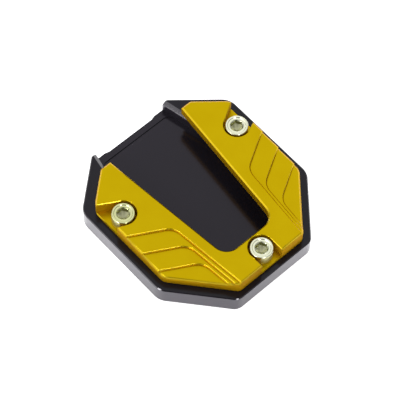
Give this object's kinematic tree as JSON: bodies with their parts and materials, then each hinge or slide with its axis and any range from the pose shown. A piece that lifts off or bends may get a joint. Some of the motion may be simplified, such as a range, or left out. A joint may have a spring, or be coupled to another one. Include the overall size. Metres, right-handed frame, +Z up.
{
  "type": "kickstand foot enlarger",
  "caption": "Eight-sided machined plate with a pocket for a stand's foot, a U-shaped clamp plate over it and socket cap screws.",
  "frame": {"origin": "on the underside, below the middle of the base plate's outline", "axes": "+Y towards the open mouth of the pocket, +Z up out of the clamp plate, +X to the right when looking along +Y"},
  "size_m": [0.085, 0.0926, 0.0175],
  "materials": {
    "black_anodised_aluminium": "satin black anodised, milled",
    "gold_anodised_aluminium": "satin gold anodised, milled",
    "zinc_plated_steel": "bright zinc plate with a yellow-green tint"
  },
  "bodies": {
    "root": {"base_plate": "black_anodised_aluminium", "clamp_plate": "gold_anodised_aluminium", "cap_screw_left": "zinc_plated_steel", "cap_screw_right": "zinc_plated_steel", "cap_screw_front": "zinc_plated_steel"}
  },
  "joints": []
}
